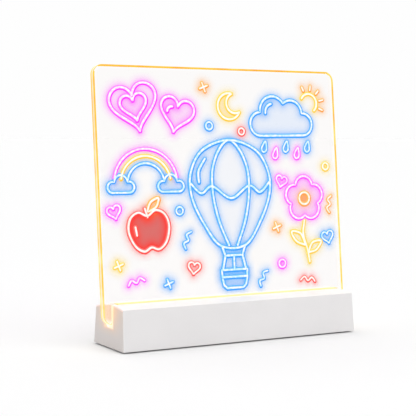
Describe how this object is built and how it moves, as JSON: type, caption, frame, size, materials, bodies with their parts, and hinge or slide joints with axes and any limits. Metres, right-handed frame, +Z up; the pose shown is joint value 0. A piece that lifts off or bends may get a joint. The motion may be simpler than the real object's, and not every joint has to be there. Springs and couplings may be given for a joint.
{
  "type": "led drawing pad",
  "caption": "Edge-lit drawing pad: a clear rounded panel leaning back in the slot of a long white light base, with a press button and a power inlet behind.",
  "frame": {"origin": "on the floor, at the middle of the base's footprint", "axes": "+X along the base to the right, -Y to the front that the panel's written face looks to, +Z up"},
  "size_m": [0.2524, 0.06, 0.2447],
  "materials": {
    "clear_acrylic": "polished clear acrylic with lit amber edges",
    "white_abs": "fine moulded satin",
    "dark_abs": "fine moulded matte",
    "milky_polycarbonate": "milky, lit warm from below",
    "clear_silicone": "soft satin",
    "black_rubber": "matte",
    "steel_screw": "zinc plated",
    "white_board": "white solder mask",
    "white_led_body": "matte",
    "led_phosphor": "clear yellow gel",
    "green_board": "green solder mask",
    "nickel_shell": "nickel plated",
    "black_plastic": "matte",
    "white_button": "satin",
    "capacitor_can": "satin",
    "ivory_nylon": "satin",
    "red_pvc": "satin",
    "black_pvc": "satin",
    "solder": "bright",
    "zinc_steel": "zinc plated"
  },
  "bodies": {
    "base": {"base_housing": "white_abs", "bottom_cover": "dark_abs", "panel_cradle": "milky_polycarbonate", "front_grip_strip": "clear_silicone", "rear_grip_strip": "clear_silicone", "rubber_feet": "black_rubber", "cover_screws": "steel_screw", "led_board": "white_board", "led_packages": "white_led_body", "led_phosphor_windows": "led_phosphor", "led_board_screws": "steel_screw", "control_board": "green_board", "control_board_screws": "steel_screw", "usb_c_shell": "nickel_shell", "usb_c_tongue": "black_plastic", "switch_body": "black_plastic", "control_chip": "black_plastic", "driver_transistors": "black_plastic", "chip_resistors": "black_plastic", "filter_capacitor": "capacitor_can", "lead_header": "ivory_nylon", "lead_plug": "ivory_nylon", "led_lead_red": "red_pvc", "led_lead_black": "black_pvc", "solder_joints": "solder", "ballast_plates": "zinc_steel", "ballast_screws": "steel_screw"},
    "panel": {"acrylic_panel": "clear_acrylic"},
    "button": {"button_cap": "white_button", "switch_plunger": "black_plastic"}
  },
  "joints": [
    {"name": "panel_lift", "type": "slide", "parent": "base", "child": "panel", "axis": [0, 0.1045, 0.9945], "range_m": [0, 0.03]},
    {"name": "button_press", "type": "slide", "parent": "base", "child": "button", "axis": [0, -1, 0], "range_m": [0, 0.0005], "stiffness_N_per_m": 3000, "springref_m": -0.0003}
  ]
}
